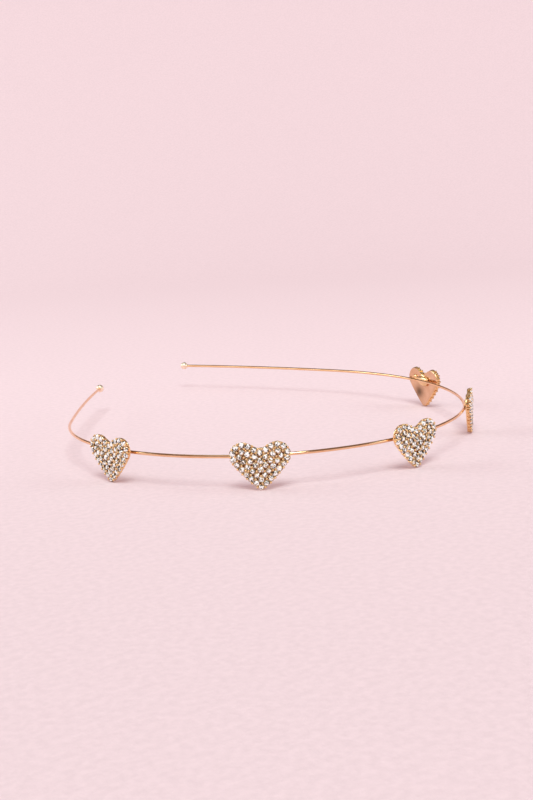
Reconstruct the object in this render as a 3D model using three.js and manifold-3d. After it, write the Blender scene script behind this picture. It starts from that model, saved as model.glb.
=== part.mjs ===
// Rhinestone heart headband: a thin springy gold wire with a ball on each end, and five heart
// settings paved with cut stones that sit on the outside of its curve.
// Millimetres, +Z up. The band lies with the wire level and the heart tips on the ground,
// its crown towards -Y and its open ends towards +Y. The origin is under the middle of its box.

import * as THREE from "three";
import { mergeVertices } from "three/addons/utils/BufferGeometryUtils.js";
import Module from "manifold-3d";

// The wire
const WIRE_DIAMETER = 0.9;
const WIRE_SIDES = 8;
const WIRE_STEPS = 80;

// The bends of the wire from its left end to its right end, each an arc that runs on from the last
const BENDS = [
  { name: "left arm", length: 58, radius: 460 },
  { name: "crown", length: 182, radius: 59.5 },
  { name: "right shoulder", length: 80, radius: 78 },
  { name: "right arm", length: 64, radius: 340 },
];

// How far from the left end the wire faces straight to the front
const WIRE_FRONT = 187;

// The balls on the ends, each bored for the wire
const BALL_DIAMETER = 2.6;
const BALL_SIDES = 14;
const BALL_RINGS = 8;
const BORE_DEPTH = 1.2;
const FIT_GAP = 0.3;

// The hearts from left to right, at an even pitch either side of the middle one
const HEARTS = [
  "heart_left_outer",
  "heart_left_inner",
  "heart_centre",
  "heart_right_inner",
  "heart_right_outer",
];
const HEART_PITCH = 44;
const CENTRE_HEART_ALONG = 191.5;

// The outline of a heart, with the wire crossing behind it at height 0
const HEART_HALF_WIDTH = 8.1;
const LOBE_OFFSET = 4.5;
const LOBE_TOP = 4.2;
const CLEFT_HEIGHT = 2.15;
const TIP_DEPTH = 8.8;
const TIP_HALF_WIDTH = 0.6;
const LOBE_FROM_DEG = -38;
const LOBE_TO_DEG = 120;
const SIDE_PULL = new THREE.Vector2(4.3, -5.5);
const OUTLINE_SEGMENTS = 6;
const PLATE_THICKNESS = 0.9;

// The stones
const STONE_DIAMETER = 1.5;
const TABLE_DIAMETER = 0.85;
const STONE_FACETS = 8;
const CROWN_HEIGHT = 0.8;
const CROWN_SINK = 0.1;

// A row of stones follows the edge, no nearer to it anywhere than a share of its inset
const EDGE_PITCH = 1.72;
const EDGE_INSET = 0.92;
const EDGE_ROOM = 0.985;
const EDGE_SAMPLES = 240;

// The field inside that row is filled from the tip up, then its stones push each other evenly apart
const FIELD_PITCH = 1.58;
const FIELD_STEP = 0.05;
const SPREAD_REACH = 2.3;
const SPREAD_SHARE = 0.1;
const SPREAD_ROUNDS = 200;

// The solder saddle on the back of a heart, with a channel that the wire lies in
const SADDLE_HALF_LENGTH = 3.0;
const SADDLE_HALF_HEIGHT = 1.7;
const SADDLE_DEPTH = 0.75;
const CHANNEL_SIDES = 12;

const GOLD = { color: 0xd8a46a, roughness: 0.22, metalness: 1.0 };
const BRIGHT_GOLD = { color: 0xe9c690, roughness: 0.18, metalness: 1.0 };
const PAVED_GOLD = { color: 0xd9cfc4, roughness: 0.12, metalness: 0.7 };

const wasm = await Module();
wasm.setup();

// A point on the wire and its heading, at a length from the left end, as the bends turn it
function followBends(along) {
  const point = new THREE.Vector2(0, 0);
  let heading = 0;
  let left = along;
  for (const { length, radius } of BENDS) {
    const run = Math.min(left, length);
    const turned = heading + run / radius;
    point.x += radius * (Math.sin(turned) - Math.sin(heading));
    point.y -= radius * (Math.cos(turned) - Math.cos(heading));
    heading = turned;
    left -= run;
  }
  return { point, heading };
}

const wireLength = BENDS.reduce((sum, bend) => sum + bend.length, 0);
const front = followBends(WIRE_FRONT);

// A point on the wire as it lies, with its front at the origin and heading along +X there
function placeOnWire(along) {
  const { point, heading } = followBends(along);
  point.sub(front.point).rotateAround(new THREE.Vector2(), -front.heading);
  return { point, heading: heading - front.heading };
}

// The wire's centre line as a curve, running from end to end
class WireLine extends THREE.Curve {
  getPoint(t, target = new THREE.Vector3()) {
    const { point } = placeOnWire(t * wireLength);
    return target.set(point.x, point.y, 0);
  }
}

function makeMesh(name, geometry, finish) {
  const mesh = new THREE.Mesh(geometry, new THREE.MeshStandardMaterial(finish));
  mesh.name = name;
  return mesh;
}

function toSolid(geometry) {
  geometry.deleteAttribute("normal");
  geometry.deleteAttribute("uv");
  const merged = mergeVertices(geometry, 1e-5);
  return new wasm.Manifold(new wasm.Mesh({
    numProp: 3,
    vertProperties: new Float32Array(merged.attributes.position.array),
    triVerts: new Uint32Array(merged.index.array),
  }));
}

function toGeometry(solid) {
  const mesh = solid.getMesh();
  const geometry = new THREE.BufferGeometry();
  geometry.setAttribute("position", new THREE.BufferAttribute(mesh.vertProperties, mesh.numProp));
  geometry.setIndex(new THREE.BufferAttribute(mesh.triVerts, 1));
  geometry.computeVertexNormals();
  return geometry;
}

function makeWire() {
  const section = new THREE.Shape();
  section.absarc(0, 0, WIRE_DIAMETER / 2, 0, 2 * Math.PI, false);
  const geometry = new THREE.ExtrudeGeometry(section, {
    extrudePath: new WireLine(),
    steps: WIRE_STEPS,
    curveSegments: WIRE_SIDES / 2,
  });
  return makeMesh("band_wire", geometry, GOLD);
}

// A ball with a blind bore, as a lathe profile from the bottom of the bore round to the far pole
function makeBall(name, end) {
  const radius = BALL_DIAMETER / 2;
  const bore = WIRE_DIAMETER / 2 + FIT_GAP;
  const mouthAngle = Math.asin(bore / radius);
  const mouthHeight = radius * Math.cos(mouthAngle);
  const profile = [new THREE.Vector2(0, mouthHeight - BORE_DEPTH - FIT_GAP)];
  profile.push(new THREE.Vector2(bore, mouthHeight - BORE_DEPTH - FIT_GAP));
  for (let ring = 0; ring < BALL_RINGS; ring += 1) {
    const angle = mouthAngle + (Math.PI - mouthAngle) * (ring / BALL_RINGS);
    profile.push(new THREE.Vector2(radius * Math.sin(angle), radius * Math.cos(angle)));
  }
  profile.push(new THREE.Vector2(0, -radius));
  profile.reverse();
  const mesh = makeMesh(name, new THREE.LatheGeometry(profile, BALL_SIDES), BRIGHT_GOLD);

  // The bore faces back along the wire, and takes the wire in as deep as it goes
  const { point, heading } = placeOnWire(end * wireLength);
  const side = end > 0.5 ? 1 : -1;
  const out = new THREE.Vector2(side * Math.cos(heading), side * Math.sin(heading));
  const centre = point.addScaledVector(out, mouthHeight - BORE_DEPTH);
  mesh.position.set(centre.x, centre.y, 0);
  mesh.quaternion.setFromUnitVectors(new THREE.Vector3(0, 1, 0), new THREE.Vector3(-out.x, -out.y, 0));
  return mesh;
}

// The right half of a heart's outline, from the tip up to the cleft
function halfOutline() {
  const radius = HEART_HALF_WIDTH - LOBE_OFFSET;
  const centreHeight = LOBE_TOP - radius;
  const from = THREE.MathUtils.degToRad(LOBE_FROM_DEG);
  const to = THREE.MathUtils.degToRad(LOBE_TO_DEG);
  const half = new THREE.Path();
  half.moveTo(0, -TIP_DEPTH);
  half.lineTo(TIP_HALF_WIDTH, -TIP_DEPTH);
  half.quadraticCurveTo(
    SIDE_PULL.x, SIDE_PULL.y,
    LOBE_OFFSET + radius * Math.cos(from), centreHeight + radius * Math.sin(from),
  );
  half.absarc(LOBE_OFFSET, centreHeight, radius, from, to, false);
  half.lineTo(0, CLEFT_HEIGHT);
  return half;
}

function heartShape() {
  const right = halfOutline().getPoints(OUTLINE_SEGMENTS);
  const left = right.slice(1, -1).reverse().map((point) => new THREE.Vector2(-point.x, point.y));
  return new THREE.Shape([...right.slice(1), ...left]);
}

// The right half of the edge row: the outline moved in, wherever it stays that far from every edge
function edgeRow() {
  const edge = halfOutline().getSpacedPoints(EDGE_SAMPLES);
  const line = [];
  for (let i = 1; i < edge.length; i += 1) {
    const along = edge[i].clone().sub(edge[i - 1]);
    if (along.length() === 0) continue;
    const inward = new THREE.Vector2(-along.y, along.x).normalize();
    const point = edge[i].clone().addScaledVector(inward, EDGE_INSET);
    const nearest = Math.min(...edge.map((other) => other.distanceTo(point)));
    if (point.x >= 0 && nearest > EDGE_INSET * EDGE_ROOM) line.push(point);
  }
  line[0].x = 0;
  line.push(new THREE.Vector2(0, CLEFT_HEIGHT - EDGE_INSET));
  return new THREE.Path(line);
}

// Whether a point lies on the field's side of the nearest stretch of the edge row
function isInside(point, rowPoints) {
  let nearest = 1;
  for (let i = 2; i < rowPoints.length; i += 1) {
    if (rowPoints[i].distanceTo(point) < rowPoints[nearest].distanceTo(point)) nearest = i;
  }
  const along = rowPoints[nearest].clone().sub(rowPoints[nearest - 1]);
  return along.cross(point.clone().sub(rowPoints[nearest])) > 0;
}

// How strongly the stones within reach push one centre away
function pushOn(centre, centres) {
  const push = new THREE.Vector2();
  for (const other of centres) {
    const away = centre.clone().sub(other);
    const distance = away.length();
    if (distance > 0 && distance < SPREAD_REACH) push.addScaledVector(away, SPREAD_REACH / distance - 1);
  }
  return push;
}

// The centres of the stones, in pairs either side of the middle: first the edge row, then the field
function stoneCentres() {
  const centres = [];
  const addPair = (point) => {
    centres.push(point);
    if (point.x > 0) centres.push(new THREE.Vector2(-point.x, point.y));
  };

  const row = edgeRow();
  for (const point of row.getSpacedPoints(Math.round(row.getLength() / EDGE_PITCH))) {
    if (point.x < STONE_DIAMETER / 4) point.x = 0;
    addPair(point);
  }
  const rowCount = centres.length;

  const rowPoints = row.getSpacedPoints(EDGE_SAMPLES);
  for (let y = -TIP_DEPTH; y < LOBE_TOP; y += FIELD_STEP) {
    for (let x = 0; x < HEART_HALF_WIDTH; x += FIELD_STEP) {
      const point = new THREE.Vector2(x, y);
      const clearOfTwin = x === 0 || 2 * x >= FIELD_PITCH;
      const clear = clearOfTwin && centres.every((other) => other.distanceTo(point) >= FIELD_PITCH);
      if (clear && isInside(point, rowPoints)) addPair(point);
    }
  }

  const field = centres.slice(rowCount);
  for (let round = 0; round < SPREAD_ROUNDS; round += 1) {
    const pushes = field.map((centre) => pushOn(centre, centres));
    field.forEach((centre, i) => centre.addScaledVector(pushes[i], SPREAD_SHARE));
  }
  return centres;
}

const stones = stoneCentres();

// A heart in its own frame: X across, Y up, Z out through the stones, its back at Z = 0
function makeHeart(name, along) {
  const { point, heading } = placeOnWire(along);
  const seat = WIRE_DIAMETER / 2 + FIT_GAP;

  let solid = toSolid(new THREE.ExtrudeGeometry(heartShape(), { depth: PLATE_THICKNESS, bevelEnabled: false }));
  for (const centre of stones) {
    const stone = new THREE.CylinderGeometry(
      TABLE_DIAMETER / 2, STONE_DIAMETER / 2, CROWN_HEIGHT, STONE_FACETS,
    );
    stone.rotateX(Math.PI / 2);
    stone.translate(centre.x, centre.y, PLATE_THICKNESS + CROWN_HEIGHT / 2 - CROWN_SINK);
    solid = solid.add(toSolid(stone));
  }

  const saddle = new THREE.SphereGeometry(1, CHANNEL_SIDES, CHANNEL_SIDES / 2);
  saddle.scale(SADDLE_HALF_LENGTH, SADDLE_HALF_HEIGHT, SADDLE_DEPTH);
  const channel = new THREE.CylinderGeometry(seat, seat, 4 * SADDLE_HALF_LENGTH, CHANNEL_SIDES);
  channel.rotateZ(Math.PI / 2);
  channel.translate(0, 0, -seat);
  solid = solid.add(toSolid(saddle).subtract(toSolid(channel)));

  const mesh = makeMesh(name, toGeometry(solid), PAVED_GOLD);
  mesh.rotation.x = Math.PI / 2;
  mesh.position.y = -seat;
  const place = new THREE.Group();
  place.position.set(point.x, point.y, 0);
  place.rotation.z = heading;
  place.add(mesh);
  return place;
}

const headband = new THREE.Group();
headband.add(makeWire());
headband.add(makeBall("ball_tip_left", 0));
headband.add(makeBall("ball_tip_right", 1));
for (const [index, name] of HEARTS.entries()) {
  const fromCentre = index - (HEARTS.length - 1) / 2;
  headband.add(makeHeart(name, CENTRE_HEART_ALONG + fromCentre * HEART_PITCH));
}

const box = new THREE.Box3().setFromObject(headband, true);
const boxMiddle = box.getCenter(new THREE.Vector3());
headband.position.set(-boxMiddle.x, -boxMiddle.y, TIP_DEPTH);

export default headband;
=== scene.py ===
import math
import random

import bmesh
import bpy
from mathutils import Matrix, Vector
from mathutils.kdtree import KDTree


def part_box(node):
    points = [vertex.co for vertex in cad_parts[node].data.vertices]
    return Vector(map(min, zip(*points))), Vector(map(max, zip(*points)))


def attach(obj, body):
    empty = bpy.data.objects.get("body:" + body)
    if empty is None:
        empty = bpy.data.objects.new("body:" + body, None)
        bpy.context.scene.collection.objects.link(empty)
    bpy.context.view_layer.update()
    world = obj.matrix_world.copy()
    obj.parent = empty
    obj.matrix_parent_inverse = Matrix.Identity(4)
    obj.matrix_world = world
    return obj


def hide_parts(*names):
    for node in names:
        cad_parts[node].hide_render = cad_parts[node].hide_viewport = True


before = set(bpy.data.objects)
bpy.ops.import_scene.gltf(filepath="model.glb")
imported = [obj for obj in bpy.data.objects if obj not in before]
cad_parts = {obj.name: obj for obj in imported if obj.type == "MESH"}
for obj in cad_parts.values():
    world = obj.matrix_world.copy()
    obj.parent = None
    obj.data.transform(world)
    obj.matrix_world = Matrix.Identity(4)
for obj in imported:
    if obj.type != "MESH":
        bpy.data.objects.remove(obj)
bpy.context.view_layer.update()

# The looks of a wire headband with a ball on each end and five hearts paved with cut stones.
# Sizes are in millimetres, and become metres where a mesh is made.
MM = 0.001
BODY = "root"
SEED = 14
dice = random.Random(SEED)

# The angle from which two faces of a piece meet in a sharp edge
WIRE_SHARP_DEG = 60
BALL_SHARP_DEG = 40
SETTING_SHARP_DEG = 50
FACET_SHARP_DEG = 1

# The wire and its bends from the left end to the right end, each an arc that runs on from the last
WIRE_DIAMETER = 0.9
WIRE_SIDES = 24
WIRE_STEPS = 480
BENDS = (
    {"name": "left arm", "length": 58, "radius": 460},
    {"name": "crown", "length": 182, "radius": 59.5},
    {"name": "right shoulder", "length": 80, "radius": 78},
    {"name": "right arm", "length": 64, "radius": 340},
)
WIRE_LENGTH = sum(bend["length"] for bend in BENDS)
WIRE_FRONT = 187

# The balls on the ends, each with a short collar that the wire goes into
BALL_DIAMETER = 2.6
BALL_SIDES = 40
BALL_RINGS = 22
BORE_DEPTH = 1.2
BORE_GAP = 0.3

# The collar on the mouth of a ball: rings that far out from the wire's surface and above the mouth,
# and how deep below the mouth the form closes, inside the wire
COLLAR_RINGS = (
    {"out": 0.18, "height": 0.04},
    {"out": 0.12, "height": 0.22},
    {"out": 0.06, "height": 0.27},
    {"out": -0.02, "height": 0.22},
)
COLLAR_END_DEPTH = 0.2

# The hearts from left to right, at an even pitch along the wire. Each is soldered on with a small turn
# of its own, counter-clockwise from above. Its back lies out from the middle of the wire by the seat.
HEARTS = (
    {"name": "heart_left_outer", "turn_deg": 0},
    {"name": "heart_left_inner", "turn_deg": 0},
    {"name": "heart_centre", "turn_deg": 0},
    {"name": "heart_right_inner", "turn_deg": -4.5},
    {"name": "heart_right_outer", "turn_deg": 2.7},
)
HEART_PITCH = 44
CENTRE_HEART_ALONG = 191.5
SEAT = WIRE_DIAMETER / 2 + BORE_GAP

# The outline of a heart, with the wire crossing behind it at height 0
HEART_HALF_WIDTH = 8.1
LOBE_OFFSET = 4.5
LOBE_TOP = 4.2
CLEFT_HEIGHT = 2.15
TIP_DEPTH = 8.8
TIP_HALF_WIDTH = 0.6
LOBE_FROM_DEG = -38
LOBE_TO_DEG = 120
SIDE_PULL = Vector((4.3, -5.5))
CURVE_STEPS = 30

# The plate: a thin sheet inside the outline, as rings of its edge shrunk towards its middle by a share
PLATE_INSET = 0.34
PLATE_MIDDLE = Vector((0, -1.5))
DISH_DEPTH = 0.30
DISH_RINGS = 14
RIM_RINGS = (
    {"share": 0.985, "height": 0.04},
    {"share": 0.997, "height": 0.12},
    {"share": 1.0, "height": 0.24},
    {"share": 0.997, "height": 0.36},
    {"share": 0.985, "height": 0.44},
)
FACE_RINGS = (
    {"share": 0.96, "height": 0.46},
    {"share": 0.75, "height": 0.52},
    {"share": 0.4, "height": 0.66},
    {"share": 0.0, "height": 0.72},
)

# A row of stones follows the edge, no nearer to it anywhere than a share of its inset
EDGE_PITCH = 1.72
EDGE_INSET = 0.92
EDGE_ROOM = 0.985
EDGE_SAMPLES = 240

# The field inside that row is filled from the tip up, then its stones push each other evenly apart
FIELD_PITCH = 1.58
FIELD_STEP = 0.05
SPREAD_REACH = 2.3
SPREAD_SHARE = 0.1
SPREAD_ROUNDS = 200

# The face is slightly domed: it rises from the edge row by a height over a distance inwards
DOME_HEIGHT = 0.28
DOME_REACH = 3.4

# A stone: rings of corners from its table down to its point, with its girdle at height 0. It is set with
# the girdle at a height above the back of the heart, and with a small tilt by chance.
STONE_RADIUS = 0.75
STONE_LARGEST = 0.87
TABLE_SIDES = 8
GIRDLE_SIDES = 2 * TABLE_SIDES
TABLE_RADIUS = 0.42
TABLE_HEIGHT = 0.36
STAR_RADIUS = 0.58
STAR_HEIGHT = 0.235
GIRDLE_WIDTH = 0.05
POINT_DEPTH = 0.3
GIRDLE_HEIGHT = 1.22
STONE_TILT_DEG = 3.0

# The cup that a stone sits in, as (radius, height above the girdle)
CUP_PROFILE = (
    (0.0, -0.85),
    (0.68, -0.85),
    (0.75, -0.30),
    (0.79, -0.06),
    (0.785, 0.0),
    (0.755, 0.0),
    (0.70, -0.12),
    (0.0, -0.3),
)
CUP_SIDES = 18

# The beads of metal that hold the stones, with their form as (share of radius, height above the girdle)
BEAD_RADIUS = 0.32
BEAD_SMALLEST = 0.14
BEAD_OVERLAP = 0.13
BEAD_SIDES = 10
BEAD_PROFILE = (
    (0.0, -0.85),
    (0.9, -0.85),
    (0.8, 0.0),
    (1.0, 0.153),
    (0.9, 0.255),
    (0.55, 0.323),
    (0.0, 0.34),
)

# Where the beads go: out from the edge row between neighbours, and in the gaps inside it. A gap's circle
# goes through three stones that are not in a line, and no other stone lies in it.
EDGE_BEAD_OUT = 0.68
NEIGHBOUR_REACH = 1.4
GAP_REACH = 1.75
LINE_TOLERANCE = 1e-6
CIRCLE_TOLERANCE = 0.01

# How much light the metal of a heart gives back: its open parts, its back, its cups, and the face
# between them. The back's tone, darker and pinker, is painted shade and a painted pink reflection of the
# cloth; the face between the cups is painted shade. A mesh keeps these tones, or those of its facets, in
# a layer.
TONE_LAYER = "facet_tone"
BRIGHT_TONE = (1.0, 1.0, 1.0, 1)
SHADED_BACK_TONE = Vector((0.86, 0.79, 0.92))
CUP_TONE = (0.98, 0.90, 0.82, 1)
PAINTED_RECESS_SHADE = (0.24, 0.18, 0.14, 1)

# A painted dark reflection: a darker patch on the one back that the photograph shows
DARK_REFLECTION_HEART = "heart_right_outer"
DARK_REFLECTION_AT = Vector((2.4, -4.0))
DARK_REFLECTION_REACH = 2.1
DARK_REFLECTION_SHARE = 0.72

# How the facets of a stone give light back, all painted: lit facets are painted highlights, dark ones
# painted shade, golden ones painted reflections of the gold. These are the shares of dark and golden
# facets in its middle and round its edge, where the rest are lit, and the tint and the range of tones of
# each kind
EDGE_FACET_FROM = 0.55
MIDDLE_SHARES = {"dark": 0.24, "golden": 0.08}
EDGE_SHARES = {"dark": 0.40, "golden": 0.36}
SHADED_FACET_TINT = Vector((1.0, 0.80, 0.55))
SHADED_FACET_TONES = (0.01, 0.10)
GOLD_REFLECTION_TINT = Vector((1.0, 0.72, 0.36))
GOLD_REFLECTION_TONES = (0.35, 0.85)
LIT_TINT = Vector((0.98, 1.0, 0.99))
LIT_TONES = (0.92, 1.0)

# The solder on the back: a saddle round the wire and two lumps above it, each with uneven edges
SOLDER_LUMPS = (
    {"place": Vector((0, 0, -0.2)), "half_size": Vector((3.0, 1.7, 0.7)), "run_deg": 40},
    {"place": Vector((4.6, 0.55, 0)), "half_size": Vector((1.5, 1.05, 0.34)), "run_deg": 160},
    {"place": Vector((0.3, 1.3, 0)), "half_size": Vector((1.4, 0.95, 0.36)), "run_deg": 280},
)
SOLDER_SIDES = 36
SOLDER_RINGS = 14
SOLDER_WAVES = (
    {"turns": 2, "share": 0.07},
    {"turns": 3, "share": 0.10},
    {"turns": 5, "share": 0.03},
)

# The gold finishes: the pale and the deep tone of the plating, and the range of its roughness
WIRE_GOLD = {"pale": (0.93, 0.61, 0.36, 1), "deep": (0.86, 0.505, 0.27, 1), "roughness": (0.07, 0.16)}
BALL_GOLD = {"pale": (1.0, 0.85, 0.68, 1), "deep": (1.0, 0.79, 0.60, 1), "roughness": (0.38, 0.50)}
HEART_GOLD = {"pale": (0.95, 0.67, 0.37, 1), "deep": (0.86, 0.55, 0.27, 1), "roughness": (0.12, 0.24)}

# The finish of the stones, and that of the stage's cloth
CRYSTAL_ROUGHNESS = (0.03, 0.09)
COAT_ROUGHNESS = 0.02
CLOTH_PALE = (0.787, 0.64, 0.666, 1)
CLOTH_DEEP = (0.74, 0.602, 0.627, 1)
CLOTH_ROUGHNESS = 0.95
CLOTH_SPECULAR = 0.1

# The noises that vary the finishes, with the span of their values that a colour or a roughness runs over
GOLD_PATCHES = {"scale": 260, "detail": 3}
GOLD_GLOSS = {"scale": 1500, "detail": 4}
GOLD_RIPPLE = {"scale": 900, "detail": 2}
CRYSTAL_HAZE = {"scale": 4000, "detail": 2}
CLOTH_MOTTLE = {"scale": 600, "detail": 5}
CLOTH_WEAVE = {"scale": 900, "detail": 2}
COLOUR_SPAN = (0.35, 0.65)
ROUGHNESS_SPAN = (0.3, 0.7)

# The reliefs of the finishes, with their heights in metres
RIPPLE_RELIEF = {"strength": 0.12, "distance": 0.00004}
WEAVE_RELIEF = {"strength": 0.25, "distance": 0.0004}

# The camera as it was found from the photograph, in metres and degrees
CAMERA_AT = Vector((-0.22334, -0.32406, 0.08363))
CAMERA_HEADING_DEG = 35.86
CAMERA_DOWN_DEG = 10.72
CAMERA_ROLL_DEG = 3.25
CAMERA_LENS = 56.97
CAMERA_SENSOR = 36
CAMERA_NEAR = 0.01

# The stage: a round floor whose edge curves slowly up
FLOOR_RADIUS = 500
COVE_RADIUS = 800
COVE_TURN_DEG = 57
COVE_STEPS = 24
STAGE_SIDES = 128

# The glow that keeps the far cloth as pale as the near: its colour and strength, and the way that it
# grows along, from and to so many metres
CLOTH_GLOW = (0.90, 0.74, 0.77, 1)
GLOW_WAY = Vector((0.567, 0.824, 0))
GLOW_FROM = -0.22
GLOW_TO = 0.12
GLOW_STRENGTH = 0.115

# Softboxes: where each hangs and how wide it is in metres, and its power in watts
LIGHTS = (
    {"name": "key", "at": Vector((-0.95, -1.42, 2.55)), "width": 1.45, "depth": 1.45, "watts": 65},
    {"name": "left", "at": Vector((-0.75, 0.80, 0.50)), "width": 0.7, "depth": 0.5, "watts": 3.8},
    {"name": "right", "at": Vector((0.75, -0.75, 0.50)), "width": 0.65, "depth": 0.55, "watts": 2.8},
    {"name": "top", "at": Vector((0, 0.25, 1.20)), "width": 0.6, "depth": 0.6, "watts": 1.2},
)
LIGHT_COLOUR = (0.84, 1.0, 0.97)
LIGHT_AIM = Vector((0, 0, 0))

# A small card beside the band that is only mirrored, mostly by the far arm and the balls
MIRRORED_CARD = {
    "name": "card",
    "at": Vector((-0.187, 0.093, 0.114)),
    "width": 0.12,
    "depth": 0.10,
    "watts": 0.075,
}

# The room: an even pale light on cloth and glass, which polished metal mirrors as a dim ceiling
ROOM_LIGHT = (0.46, 0.29, 0.31, 1)
ROOM_MIRRORED = (0.21, 0.165, 0.15, 1)


class Shape:
    """Points and faces gathered in millimetres, which become one mesh."""

    def __init__(self):
        self.points = []
        self.faces = []
        self.tones = []

    def add(self, form, place=Matrix.Identity(4), tones=()):
        points, faces = form
        first = len(self.points)
        self.points += [place @ point for point in points]
        self.faces += [tuple(first + corner for corner in face) for face in faces]
        self.tones += tones


def join_rings(rings):
    """Faces between each ring of corners and the next. A ring may repeat one corner, as a pole."""
    faces = []
    for low, high in zip(rings, rings[1:]):
        for here in range(len(low)):
            there = (here + 1) % len(low)
            corners = dict.fromkeys((low[here], low[there], high[there], high[here]))
            if len(corners) > 2:
                faces.append(tuple(corners))
    return faces


def lathe(profile, sides):
    """A turned form about Z, from (radius, height) points."""
    points = []
    rings = []
    for radius, height in profile:
        if radius == 0:
            rings.append([len(points)] * sides)
            points.append(Vector((0, 0, height)))
            continue
        rings.append(range(len(points), len(points) + sides))
        for side in range(sides):
            angle = 2 * math.pi * side / sides
            points.append(Vector((radius * math.cos(angle), radius * math.sin(angle), height)))
    return points, join_rings(rings)


def ellipsoid(half_size, sides, rings):
    profile = [(0.0, -1.0)]
    for ring in range(1, rings):
        angle = math.pi * ring / rings
        profile.append((math.sin(angle), -math.cos(angle)))
    points, faces = lathe(profile + [(0.0, 1.0)], sides)
    return [point * half_size for point in points], faces


def follow_bends(along):
    """A point on the wire and its heading, at a length from the left end, as the bends turn it."""
    point = Vector((0, 0, 0))
    heading = 0
    remaining = along
    for bend in BENDS:
        run = min(remaining, bend["length"])
        turned = heading + run / bend["radius"]
        point.x += bend["radius"] * (math.sin(turned) - math.sin(heading))
        point.y -= bend["radius"] * (math.cos(turned) - math.cos(heading))
        heading = turned
        remaining -= run
    return point, heading


FRONT_POINT, FRONT_HEADING = follow_bends(WIRE_FRONT)


def lie_on_wire(along):
    """A point on the wire as it lies, with its front at the origin and heading along +X there."""
    point, heading = follow_bends(along)
    return Matrix.Rotation(-FRONT_HEADING, 3, "Z") @ (point - FRONT_POINT), heading - FRONT_HEADING


def frame_shift():
    """The move that lays the wire over the solid it stands for."""
    low, high = (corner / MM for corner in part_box("band_wire"))
    across = [lie_on_wire(WIRE_LENGTH * step / WIRE_STEPS)[0].x for step in range(WIRE_STEPS + 1)]
    middle = (min(across) + max(across)) / 2
    return Vector(((low.x + high.x) / 2 - middle, low.y + WIRE_DIAMETER / 2, (low.z + high.z) / 2))


SHIFT = frame_shift()


def place_on_wire(along):
    point, heading = lie_on_wire(along)
    return SHIFT + point, heading


def make_piece(name, shape, material, nodes, sharp_deg):
    """One mesh object from a shape, riding on the part and standing for its solids."""
    mesh = bpy.data.meshes.new(name)
    mesh.from_pydata([point * MM for point in shape.points], [], shape.faces)
    if shape.tones:
        colours = mesh.color_attributes.new(TONE_LAYER, "FLOAT_COLOR", "CORNER")
        for face, tone in zip(mesh.polygons, shape.tones):
            for corner in face.loop_indices:
                colours.data[corner].color = tone
    edit = bmesh.new()
    edit.from_mesh(mesh)
    bmesh.ops.recalc_face_normals(edit, faces=edit.faces)
    edit.to_mesh(mesh)
    edit.free()
    mesh.shade_smooth()
    mesh.set_sharp_from_angle(angle=math.radians(sharp_deg))
    mesh.materials.append(material)
    piece = bpy.data.objects.new(name, mesh)
    bpy.context.scene.collection.objects.link(piece)
    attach(piece, BODY)
    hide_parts(*nodes)


# The wire and its balls


def make_wire(material):
    shape = Shape()
    points = []
    rings = []
    for step in range(WIRE_STEPS + 1):
        centre, heading = place_on_wire(WIRE_LENGTH * step / WIRE_STEPS)
        out = Vector((math.sin(heading), -math.cos(heading), 0))
        rings.append(range(len(points), len(points) + WIRE_SIDES))
        for side in range(WIRE_SIDES):
            angle = 2 * math.pi * side / WIRE_SIDES
            across = out * math.cos(angle) + Vector((0, 0, math.sin(angle)))
            points.append(centre + across * WIRE_DIAMETER / 2)
    shape.add((points, join_rings(rings) + [tuple(rings[0]), tuple(rings[-1])]))
    make_piece("wire_polished", shape, material, ["band_wire"], WIRE_SHARP_DEG)


def make_ball(side, along, material):
    radius = BALL_DIAMETER / 2
    bore = WIRE_DIAMETER / 2 + BORE_GAP
    mouth_angle = math.asin(bore / radius)
    mouth = radius * math.cos(mouth_angle)
    profile = [(0.0, -radius)]
    for ring in range(1, BALL_RINGS + 1):
        angle = (math.pi - mouth_angle) * ring / BALL_RINGS
        profile.append((radius * math.sin(angle), -radius * math.cos(angle)))
    for ring in COLLAR_RINGS:
        profile.append((WIRE_DIAMETER / 2 + ring["out"], mouth + ring["height"]))
    profile.append((0.0, mouth - COLLAR_END_DEPTH))

    centre, heading = place_on_wire(along)
    out = Vector((math.cos(heading), math.sin(heading), 0)) * (1 if along > 0 else -1)
    turn = Vector((0, 0, 1)).rotation_difference(-out).to_matrix().to_4x4()
    place = Matrix.Translation(centre + out * (mouth - BORE_DEPTH)) @ turn
    shape = Shape()
    shape.add(lathe(profile, BALL_SIDES), place)
    nodes = [f"ball_tip_{side}"]
    make_piece(f"ball_{side}_polished", shape, material, nodes, BALL_SHARP_DEG)


# The outline of a heart and the rows of stones in it


def half_outline():
    """The right half of the outline, from the tip up to the cleft."""
    radius = HEART_HALF_WIDTH - LOBE_OFFSET
    lobe = Vector((LOBE_OFFSET, LOBE_TOP - radius))
    turns = [
        math.radians(LOBE_FROM_DEG + (LOBE_TO_DEG - LOBE_FROM_DEG) * step / CURVE_STEPS)
        for step in range(CURVE_STEPS + 1)
    ]
    arc = [lobe + radius * Vector((math.cos(turn), math.sin(turn))) for turn in turns]
    corner = Vector((TIP_HALF_WIDTH, -TIP_DEPTH))
    points = [Vector((0, -TIP_DEPTH))]
    for step in range(CURVE_STEPS):
        share = step / CURVE_STEPS
        near = corner.lerp(SIDE_PULL, share)
        far = SIDE_PULL.lerp(arc[0], share)
        points.append(near.lerp(far, share))
    return points + arc + [Vector((0, CLEFT_HEIGHT))]


def length_of(line):
    return sum((there - here).length for here, there in zip(line, line[1:]))


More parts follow.
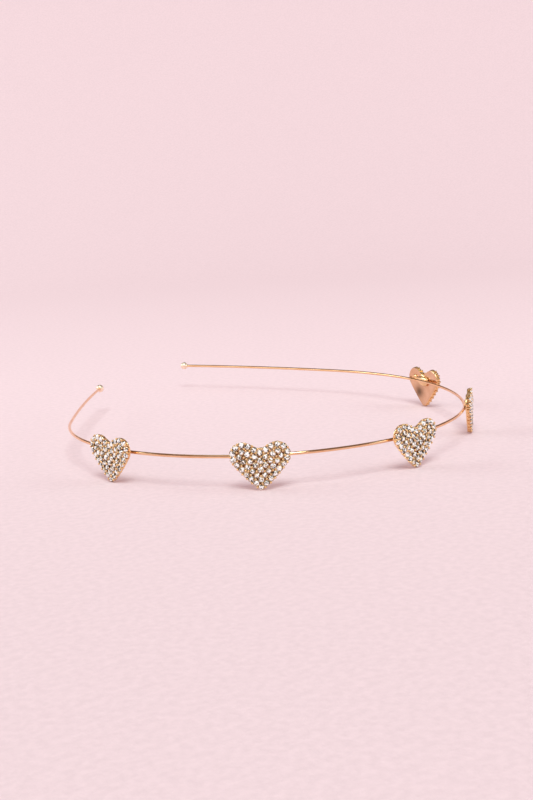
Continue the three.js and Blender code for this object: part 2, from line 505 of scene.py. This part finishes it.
def spaced(line, count):
    """The points at count equal steps along a line of points."""
    lengths = [0]
    for here, there in zip(line, line[1:]):
        lengths.append(lengths[-1] + (there - here).length)
    points = []
    piece = 0
    for step in range(count + 1):
        along = lengths[-1] * step / count
        while piece < len(line) - 2 and lengths[piece + 1] < along:
            piece += 1
        share = (along - lengths[piece]) / (lengths[piece + 1] - lengths[piece])
        points.append(line[piece].lerp(line[piece + 1], share))
    return points


EDGE = spaced(half_outline(), EDGE_SAMPLES)


def nearest_edge(point):
    """The nearest point of the outline, on the point's own side of the middle."""
    side = -1 if point.x < 0 else 1
    on_right = Vector((abs(point.x), point.y))
    nearest = min(EDGE, key=lambda other: (other - on_right).length_squared)
    return Vector((side * nearest.x, nearest.y))


def edge_row():
    """The right half of the edge row: the outline moved in, where it stays that far from every edge."""
    line = []
    for here, there in zip(EDGE, EDGE[1:]):
        along = (there - here).normalized()
        point = there + EDGE_INSET * Vector((-along.y, along.x))
        nearest = min((other - point).length for other in EDGE)
        if point.x >= 0 and nearest > EDGE_INSET * EDGE_ROOM:
            line.append(point)
    line[0].x = 0
    return line + [Vector((0, CLEFT_HEIGHT - EDGE_INSET))]


def push_on(centre, centres):
    """How strongly the stones within reach push one centre away."""
    push = Vector((0, 0))
    for other in centres:
        away = centre - other
        if 0 < away.length < SPREAD_REACH:
            push += away * (SPREAD_REACH / away.length - 1)
    return push


def stone_centres():
    """The centres of the stones: first the edge row, then the field inside it."""
    row = edge_row()
    centres = []

    def add_pair(point):
        centres.append(point)
        if point.x > 0:
            centres.append(Vector((-point.x, point.y)))

    for point in spaced(row, round(length_of(row) / EDGE_PITCH)):
        if point.x < STONE_RADIUS / 2:
            point.x = 0
        add_pair(point)
    row_count = len(centres)

    row_points = spaced(row, EDGE_SAMPLES)
    tree = KDTree(len(row_points) - 1)
    for index, point in enumerate(row_points[1:]):
        tree.insert(point.to_3d(), index + 1)
    tree.balance()

    def is_inside(point):
        index = tree.find(point.to_3d())[1]
        along = row_points[index] - row_points[index - 1]
        across = point - row_points[index]
        return along.x * across.y - along.y * across.x > 0

    height = -TIP_DEPTH
    while height < LOBE_TOP:
        out = 0.0
        while out < HEART_HALF_WIDTH:
            point = Vector((out, height))
            clear = out == 0 or 2 * out >= FIELD_PITCH
            clear = clear and all((other - point).length >= FIELD_PITCH for other in centres)
            if clear and is_inside(point):
                add_pair(point)
            out += FIELD_STEP
        height += FIELD_STEP

    for _ in range(SPREAD_ROUNDS):
        pushes = [push_on(centre, centres) for centre in centres[row_count:]]
        for centre, push in zip(centres[row_count:], pushes):
            centre += push * SPREAD_SHARE
    return centres, row_count


STONES, EDGE_STONES = stone_centres()


def stone_radius(index):
    """How large a stone can be beside its nearest neighbour."""
    room = min((other - STONES[index]).length for other in STONES if other is not STONES[index])
    return min(STONE_LARGEST, room / 2)


RADII = [stone_radius(index) for index in range(len(STONES))]


def clear_round(point):
    """How far a point is from the nearest stone."""
    return min((centre - point).length - radius for centre, radius in zip(STONES, RADII))


def seat_on_dome(point):
    """Where a stone or bead sits on the domed face, leaning out towards the edge."""
    out = nearest_edge(point) - point
    share = min(max((out.length - EDGE_INSET) / DOME_REACH, 0), 1)
    lift = DOME_HEIGHT * (1 - (1 - share) ** 2)
    lean = math.degrees(math.atan(2 * DOME_HEIGHT * (1 - share) / DOME_REACH))
    return Matrix.Translation((*point, GIRDLE_HEIGHT + lift)) @ lean_towards(out.normalized(), lean)


def lean_towards(way, degrees):
    """A turn that leans the face's own Z towards a way in its plane."""
    return Matrix.Rotation(math.radians(degrees), 4, Vector((-way.y, way.x, 0)))


def circle_through(a, b, c):
    """The middle of the circle through three points, or None if they lie on a line."""
    ab = b - a
    ac = c - a
    cross = 2 * (ab.x * ac.y - ab.y * ac.x)
    if abs(cross) < LINE_TOLERANCE:
        return None
    x = (ac.y * ab.length_squared - ab.y * ac.length_squared) / cross
    y = (ab.x * ac.length_squared - ac.x * ab.length_squared) / cross
    return a + Vector((x, y))


def gap_beads():
    """A bead in each gap that three or four stones leave between them."""
    reach = 2 * GAP_REACH
    beads = []
    for i, a in enumerate(STONES):
        near = [c for c in STONES[i + 1:] if (c - a).length < reach]
        for j, b in enumerate(near):
            for c in near[j + 1:]:
                middle = circle_through(a, b, c)
                if middle is None or (middle - a).length > GAP_REACH:
                    continue
                clear = (middle - a).length - CIRCLE_TOLERANCE
                empty = all((other - middle).length > clear for other in STONES)
                apart = all((bead["at"] - middle).length > BEAD_RADIUS * 2 for bead in beads)
                inside = (nearest_edge(middle) - middle).length > EDGE_INSET
                radius = min(BEAD_RADIUS, clear_round(middle) + BEAD_OVERLAP)
                if empty and apart and inside and radius > BEAD_SMALLEST:
                    beads.append({"at": middle, "radius": radius})
    return beads


def edge_beads():
    """A bead on the edge between each two stones that stand side by side along it."""
    outer = STONES[:EDGE_STONES]
    beads = []
    for i, a in enumerate(outer):
        for b in outer[i + 1:]:
            if (b - a).length > NEIGHBOUR_REACH * EDGE_PITCH:
                continue
            middle = (a + b) / 2
            across = Vector((a.y - b.y, b.x - a.x)).normalized()
            way = across if across.dot(nearest_edge(middle) - middle) > 0 else -across
            place = middle + way * EDGE_BEAD_OUT
            if clear_round(place) > 0:
                beads.append({"at": place, "radius": BEAD_RADIUS})
    return beads


BEADS = gap_beads() + edge_beads()


# One heart


def heart_frame(along, turn_deg):
    """From a heart's own frame, X across, Y up and Z out of its face, to the part's."""
    centre, heading = place_on_wire(along)
    turn = Matrix.Rotation(heading + math.radians(turn_deg), 4, "Z")
    stand = Matrix.Rotation(math.radians(90), 4, "X")
    return Matrix.Translation(centre) @ turn @ Matrix.Translation((0, -SEAT, 0)) @ stand


def inset_outline(inset):
    """The whole outline, counter-clockwise from the tip, moved in by a distance."""
    right = half_outline()
    outline = right + [Vector((-point.x, point.y)) for point in reversed(right[1:-1])]
    moved = []
    for before, here, after in zip(outline[-1:] + outline, outline, outline[1:] + outline[:1]):
        along = (after - before).normalized()
        moved.append(here + inset * Vector((-along.y, along.x)))
    return moved


def plate_form(dark_reflection):
    """A heart plate with a dished back, a round rim and a shaded front, and the tones of its faces."""
    outline = inset_outline(PLATE_INSET)
    points = []
    rings = []

    def add_ring(share, height):
        corners = [PLATE_MIDDLE.lerp(corner, share) for corner in outline]
        if share == 0:
            corners = corners[:1]
        first = len(points)
        points.extend(Vector((*corner, height)) for corner in corners)
        rings.append([first + min(index, len(corners) - 1) for index in range(len(outline))])

    dish_share = RIM_RINGS[0]["share"]
    for step in range(DISH_RINGS):
        inner = step / DISH_RINGS
        add_ring(dish_share * inner, DISH_DEPTH * (1 - inner ** 2))
    for ring in RIM_RINGS + FACE_RINGS:
        add_ring(ring["share"], ring["height"])

    faces = join_rings(rings)
    tones = []
    for index, face in enumerate(faces):
        band = index // len(outline)
        if band < DISH_RINGS:
            middle = sum((points[corner].xy for corner in face), Vector((0, 0))) / len(face)
            # A painted dark reflection: a soft darker patch on this heart's back.
            shade = dark_reflection * math.exp(-((middle - DARK_REFLECTION_AT).length / DARK_REFLECTION_REACH) ** 2)
            # The back's tone is painted shade and a painted pink reflection of the cloth.
            tones.append((*(SHADED_BACK_TONE * (1 - shade)), 1))
        else:
            # The rim keeps the full tone; the face between the cups is painted shade.
            tones.append(BRIGHT_TONE if band < DISH_RINGS + len(RIM_RINGS) - 1 else PAINTED_RECESS_SHADE)
    return (points, faces), tones


def bead_form(radius):
    return lathe([(radius * share, height) for share, height in BEAD_PROFILE], BEAD_SIDES)


def solder_form(lump):
    """A low lump of solder with an uneven outline."""
    points, faces = ellipsoid(lump["half_size"], SOLDER_SIDES, SOLDER_RINGS)
    run = math.radians(lump["run_deg"])
    uneven = []
    for point in points:
        angle = math.atan2(point.y / lump["half_size"].y, point.x / lump["half_size"].x)
        swell = 1 + sum(wave["share"] * math.sin(wave["turns"] * angle + run) for wave in SOLDER_WAVES)
        uneven.append(Vector((point.x * swell, point.y * swell, point.z)))
    return uneven, faces


def corner_at(radius, height, turn):
    angle = 2 * math.pi * turn
    return Vector((radius * math.cos(angle), radius * math.sin(angle), height))


def stone_form():
    """A brilliant cut: a table of eight sectors, star, kite and girdle facets, and a point below."""
    table = [corner_at(TABLE_RADIUS, TABLE_HEIGHT, k / TABLE_SIDES) for k in range(TABLE_SIDES)]
    star = [corner_at(STAR_RADIUS, STAR_HEIGHT, (k + 0.5) / TABLE_SIDES) for k in range(TABLE_SIDES)]
    girdle = [corner_at(STONE_RADIUS, 0, k / GIRDLE_SIDES) for k in range(GIRDLE_SIDES)]
    under = [corner_at(STONE_RADIUS, -GIRDLE_WIDTH, k / GIRDLE_SIDES) for k in range(GIRDLE_SIDES)]
    middle = Vector((0, 0, TABLE_HEIGHT))
    point = Vector((0, 0, -POINT_DEPTH))
    points = [middle, *table, *star, *girdle, *under, point]

    middle_at = 0
    table_at = 1
    star_at = table_at + len(table)
    girdle_at = star_at + len(star)
    under_at = girdle_at + len(girdle)
    point_at = under_at + len(under)
    faces = []
    for k in range(TABLE_SIDES):
        after = (k + 1) % TABLE_SIDES
        table_here = table_at + k
        table_after = table_at + after
        star_before = star_at + (k - 1) % TABLE_SIDES
        star_here = star_at + k
        girdle_here = girdle_at + 2 * k
        girdle_half = girdle_here + 1
        girdle_after = girdle_at + 2 * after
        faces.append((middle_at, table_here, table_after))
        faces.append((table_here, star_here, table_after))
        faces.append((table_here, star_before, girdle_here, star_here))
        faces.append((star_here, girdle_here, girdle_half))
        faces.append((star_here, girdle_half, girdle_after))
    for k in range(GIRDLE_SIDES):
        after = (k + 1) % GIRDLE_SIDES
        faces.append((girdle_at + k, under_at + k, under_at + after, girdle_at + after))
        faces.append((under_at + k, point_at, under_at + after))
    return points, faces


def facet_tones(form):
    """A painted tone for each facet of one stone: mostly a painted highlight in its middle, painted
    shade and painted gold reflections round its edge.
    """
    points, faces = form
    tones = []
    for face in faces:
        middle = sum((points[corner] for corner in face), Vector((0, 0, 0))) / len(face)
        # Round the edge, more facets get painted shade from the cup and a painted reflection of the
        # gold.
        shares = EDGE_SHARES if middle.xy.length > EDGE_FACET_FROM else MIDDLE_SHARES
        chance = dice.random()
        if chance < shares["dark"]:
            tone = SHADED_FACET_TINT * dice.uniform(*SHADED_FACET_TONES)
        elif chance < shares["dark"] + shares["golden"]:
            tone = GOLD_REFLECTION_TINT * dice.uniform(*GOLD_REFLECTION_TONES)
        else:
            tone = LIT_TINT * dice.uniform(*LIT_TONES)
        tones.append((*tone, 1))
    return tones


def plain_tones(form, tone):
    return [tone] * len(form[1])


def make_heart(heart, along, gold, crystal):
    name = heart["name"]
    place = heart_frame(along, heart["turn_deg"])
    setting = Shape()
    # Only one heart's back gets the painted dark reflection.
    plate, plate_tones = plate_form(DARK_REFLECTION_SHARE if name == DARK_REFLECTION_HEART else 0)
    setting.add(plate, place, plate_tones)
    cup = lathe(CUP_PROFILE, CUP_SIDES)
    stone = stone_form()
    stones = Shape()
    for centre, radius in zip(STONES, RADII):
        wide = radius / STONE_RADIUS
        seat = place @ seat_on_dome(centre) @ Matrix.Diagonal((wide, wide, 1, 1))
        setting.add(cup, seat, plain_tones(cup, CUP_TONE))
        tilt = Vector((dice.gauss(0, 1), dice.gauss(0, 1))) * STONE_TILT_DEG
        spin = Matrix.Rotation(dice.uniform(0, math.pi), 4, "Z")
        turn = lean_towards(tilt.normalized(), tilt.length) @ spin
        stones.add(stone, seat @ turn, facet_tones(stone))
    for bead in BEADS:
        form = bead_form(bead["radius"])
        setting.add(form, place @ seat_on_dome(bead["at"]), plain_tones(form, BRIGHT_TONE))
    for lump in SOLDER_LUMPS:
        form = solder_form(lump)
        setting.add(form, place @ Matrix.Translation(lump["place"]), plain_tones(form, BRIGHT_TONE))
    make_piece(f"{name}_setting", setting, gold, [name], SETTING_SHARP_DEG)
    make_piece(f"{name}_stones", stones, crystal, [name], FACET_SHARP_DEG)


# The finishes


def new_material(name):
    material = bpy.data.materials.new(name)
    material.use_nodes = True
    return material, material.node_tree, material.node_tree.nodes["Principled BSDF"]


def add_noise(tree, grain):
    place = tree.nodes.new("ShaderNodeTexCoord")
    noise = tree.nodes.new("ShaderNodeTexNoise")
    noise.inputs["Scale"].default_value = grain["scale"]
    noise.inputs["Detail"].default_value = grain["detail"]
    tree.links.new(place.outputs["Object"], noise.inputs["Vector"])
    return noise.outputs["Fac"]


def add_ramp(tree, source, deep, pale):
    """A colour that goes from deep to pale over the span of a noise."""
    ramp = tree.nodes.new("ShaderNodeValToRGB")
    low, high = ramp.color_ramp.elements
    low.position, high.position = COLOUR_SPAN
    low.color = deep
    high.color = pale
    tree.links.new(source, ramp.inputs["Fac"])
    return ramp.outputs["Color"]


def add_roughness(tree, source, smoothest, roughest):
    """A roughness that goes between two ends over the span of a noise."""
    noise_low, noise_high = ROUGHNESS_SPAN
    span = tree.nodes.new("ShaderNodeMapRange")
    span.inputs["From Min"].default_value = noise_low
    span.inputs["From Max"].default_value = noise_high
    span.inputs["To Min"].default_value = smoothest
    span.inputs["To Max"].default_value = roughest
    tree.links.new(source, span.inputs["Value"])
    return span.outputs["Result"]


def add_bump(tree, source, relief):
    bump = tree.nodes.new("ShaderNodeBump")
    bump.inputs["Strength"].default_value = relief["strength"]
    bump.inputs["Distance"].default_value = relief["distance"]
    tree.links.new(source, bump.inputs["Height"])
    return bump.outputs["Normal"]


def add_tone(tree):
    tone = tree.nodes.new("ShaderNodeAttribute")
    tone.attribute_name = TONE_LAYER
    return tone.outputs["Color"]


def add_product(tree, one, other):
    mix = tree.nodes.new("ShaderNodeMix")
    mix.data_type = "RGBA"
    mix.blend_type = "MULTIPLY"
    mix.inputs["Factor"].default_value = 1.0
    tree.links.new(one, mix.inputs["A"])
    tree.links.new(other, mix.inputs["B"])
    return mix.outputs["Result"]


def make_gold(name, gold, toned=False):
    """Polished plating: patches of paler and deeper gold, uneven gloss and a faint ripple."""
    material, tree, shader = new_material(name)
    shader.inputs["Metallic"].default_value = 1.0
    patches = add_noise(tree, GOLD_PATCHES)
    colour = add_ramp(tree, patches, gold["deep"], gold["pale"])
    if toned:
        colour = add_product(tree, colour, add_tone(tree))
    tree.links.new(colour, shader.inputs["Base Color"])
    gloss = add_noise(tree, GOLD_GLOSS)
    tree.links.new(add_roughness(tree, gloss, *gold["roughness"]), shader.inputs["Roughness"])
    ripple = add_noise(tree, GOLD_RIPPLE)
    tree.links.new(add_bump(tree, ripple, RIPPLE_RELIEF), shader.inputs["Normal"])
    return material


def make_crystal():
    """Foiled glass: the facets show painted highlights, painted shade and painted gold reflections under
    a hard clear gloss.
    """
    material, tree, shader = new_material("foiled_crystal_painted_reflections")
    tree.links.new(add_tone(tree), shader.inputs["Base Color"])
    shader.inputs["Coat Weight"].default_value = 1.0
    shader.inputs["Coat Roughness"].default_value = COAT_ROUGHNESS
    haze = add_noise(tree, CRYSTAL_HAZE)
    tree.links.new(add_roughness(tree, haze, *CRYSTAL_ROUGHNESS), shader.inputs["Roughness"])
    return material


def add_glow(tree):
    """Light that the cloth gives off, growing along one way over the floor, to even out its shade."""
    place = tree.nodes.new("ShaderNodeTexCoord")
    reach = tree.nodes.new("ShaderNodeVectorMath")
    reach.operation = "DOT_PRODUCT"
    reach.inputs[1].default_value = GLOW_WAY
    tree.links.new(place.outputs["Object"], reach.inputs[0])
    span = tree.nodes.new("ShaderNodeMapRange")
    span.interpolation_type = "SMOOTHSTEP"
    span.inputs["From Min"].default_value = GLOW_FROM
    span.inputs["From Max"].default_value = GLOW_TO
    span.inputs["To Max"].default_value = GLOW_STRENGTH
    tree.links.new(reach.outputs["Value"], span.inputs["Value"])
    return span.outputs["Result"]


def make_cloth():
    """Pale pink cloth for the stage: soft mottling, and a fine weave in its bump."""
    material, tree, shader = new_material("stage_cloth")
    mottle = add_noise(tree, CLOTH_MOTTLE)
    tree.links.new(add_ramp(tree, mottle, CLOTH_DEEP, CLOTH_PALE), shader.inputs["Base Color"])
    shader.inputs["Roughness"].default_value = CLOTH_ROUGHNESS
    shader.inputs["Specular IOR Level"].default_value = CLOTH_SPECULAR
    shader.inputs["Emission Color"].default_value = CLOTH_GLOW
    tree.links.new(add_glow(tree), shader.inputs["Emission Strength"])
    weave = add_noise(tree, CLOTH_WEAVE)
    tree.links.new(add_bump(tree, weave, WEAVE_RELIEF), shader.inputs["Normal"])
    return material


# The stage, the light and the camera


def make_stage(material):
    profile = [(0.0, 0.0), (FLOOR_RADIUS / 2, 0.0)]
    for step in range(COVE_STEPS + 1):
        turn = math.radians(COVE_TURN_DEG) * step / COVE_STEPS
        out = FLOOR_RADIUS + COVE_RADIUS * math.sin(turn)
        profile.append((out, COVE_RADIUS * (1 - math.cos(turn))))
    points, faces = lathe(profile, STAGE_SIDES)
    mesh = bpy.data.meshes.new("stage")
    mesh.from_pydata([point * MM for point in points], [], faces)
    mesh.shade_smooth()
    mesh.materials.append(material)
    stage = bpy.data.objects.new("stage", mesh)
    bpy.context.scene.collection.objects.link(stage)


def make_light(row):
    light = bpy.data.lights.new(row["name"], "AREA")
    light.shape = "RECTANGLE"
    light.size = row["width"]
    light.size_y = row["depth"]
    light.energy = row["watts"]
    light.color = LIGHT_COLOUR
    lamp = bpy.data.objects.new(row["name"], light)
    lamp.location = row["at"]
    lamp.rotation_euler = (LIGHT_AIM - row["at"]).to_track_quat("-Z", "Y").to_euler()
    bpy.context.scene.collection.objects.link(lamp)
    return lamp


def make_lights():
    for row in LIGHTS:
        make_light(row)
    card = make_light(MIRRORED_CARD)
    card.visible_diffuse = False
    card.visible_camera = False


def make_room():
    world = bpy.data.worlds.new("room")
    world.use_nodes = True
    tree = world.node_tree
    path = tree.nodes.new("ShaderNodeLightPath")
    mix = tree.nodes.new("ShaderNodeMix")
    mix.data_type = "RGBA"
    mix.inputs["A"].default_value = ROOM_LIGHT
    mix.inputs["B"].default_value = ROOM_MIRRORED
    tree.links.new(path.outputs["Is Glossy Ray"], mix.inputs["Factor"])
    tree.links.new(mix.outputs["Result"], tree.nodes["Background"].inputs["Color"])
    bpy.context.scene.world = world


def make_camera():
    camera = bpy.data.cameras.new("camera")
    camera.lens = CAMERA_LENS
    camera.sensor_width = CAMERA_SENSOR
    camera.clip_start = CAMERA_NEAR
    eye = bpy.data.objects.new("camera", camera)
    heading = Matrix.Rotation(-math.radians(CAMERA_HEADING_DEG), 4, "Z")
    down = Matrix.Rotation(math.radians(90 - CAMERA_DOWN_DEG), 4, "X")
    roll = Matrix.Rotation(-math.radians(CAMERA_ROLL_DEG), 4, "Z")
    eye.matrix_world = Matrix.Translation(CAMERA_AT) @ heading @ down @ roll
    bpy.context.scene.collection.objects.link(eye)
    bpy.context.scene.camera = eye
    bpy.context.scene.view_settings.view_transform = "Standard"


make_camera()
make_lights()
make_room()
make_stage(make_cloth())

wire_gold = make_gold("wire_gold_finish", WIRE_GOLD)
ball_gold = make_gold("ball_gold_finish", BALL_GOLD)
heart_gold = make_gold("heart_gold_finish", HEART_GOLD, toned=True)
crystal = make_crystal()

make_wire(wire_gold)
make_ball("left", 0, ball_gold)
make_ball("right", WIRE_LENGTH, ball_gold)
for index, heart in enumerate(HEARTS):
    from_centre = index - (len(HEARTS) - 1) / 2
    make_heart(heart, CENTRE_HEART_ALONG + from_centre * HEART_PITCH, heart_gold, crystal)
